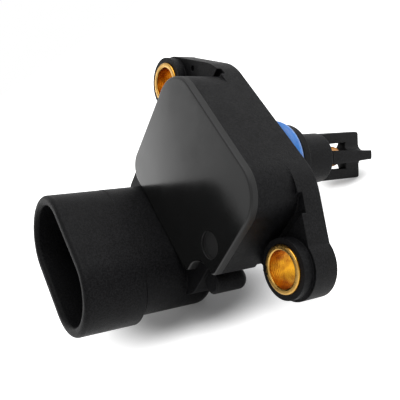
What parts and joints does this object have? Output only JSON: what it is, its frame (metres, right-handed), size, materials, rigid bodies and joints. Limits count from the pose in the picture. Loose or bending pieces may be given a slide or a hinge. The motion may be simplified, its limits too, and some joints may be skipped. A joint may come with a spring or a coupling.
{
  "type": "manifold absolute pressure sensor",
  "caption": "Two-bolt flanged pressure and air temperature sensor with an oval plug socket, a sealed probe and a caged temperature bead at its tip.",
  "frame": {"origin": "probe axis on the back face of the flange, midway between the two bolt bushes", "axes": "+Z away from the manifold, along the plug's way in; X through the two bolt bushes; -Y towards the plug socket"},
  "size_m": [0.0599, 0.0453, 0.063],
  "materials": {
    "black_pbt": "fine moulded grain, satin",
    "cover_pbt": "smooth, semi-gloss",
    "brass": "turned, lightly worn",
    "blue_rubber": "smooth moulded rubber",
    "amber_epoxy": "dipped epoxy, glossy",
    "tinned_wire": "tinned, satin",
    "tinned_brass": "tinned blade, satin",
    "board_green": "solder mask, semi-gloss",
    "chip_black": "moulded epoxy, matt",
    "cell_plastic": "moulded, satin",
    "steel_lid": "brushed",
    "glass_block": "clear",
    "silicon": "polished",
    "solder": "bright, smooth",
    "sealant": "cured silicone, matt",
    "ceramic": "fired ceramic, matt"
  },
  "bodies": {
    "root": {"housing": "black_pbt", "cover": "cover_pbt", "cover_seal": "sealant", "o_ring": "blue_rubber", "circuit_board": "board_green", "cell_body": "cell_plastic", "cell_lid": "steel_lid", "glass_pedestal": "glass_block", "sense_die": "silicon", "cell_seal": "sealant", "amplifier_chip": "chip_black", "thermistor_bead": "amber_epoxy", "bush_left": "brass", "thermistor_lead_left": "tinned_wire", "lead_seal_left": "sealant", "solder_left": "solder", "bush_right": "brass", "thermistor_lead_right": "tinned_wire", "lead_seal_right": "sealant", "solder_right": "solder", "terminal_1": "tinned_brass", "solder_1": "solder", "cell_pin_1": "tinned_wire", "terminal_2": "tinned_brass", "solder_2": "solder", "cell_pin_2": "tinned_wire", "terminal_3": "tinned_brass", "solder_3": "solder", "cell_pin_3": "tinned_wire", "terminal_4": "tinned_brass", "solder_4": "solder", "cell_pin_4": "tinned_wire", "capacitor_1": "ceramic", "capacitor_2": "ceramic", "capacitor_3": "ceramic", "resistor_1": "chip_black", "resistor_2": "chip_black"}
  },
  "joints": []
}
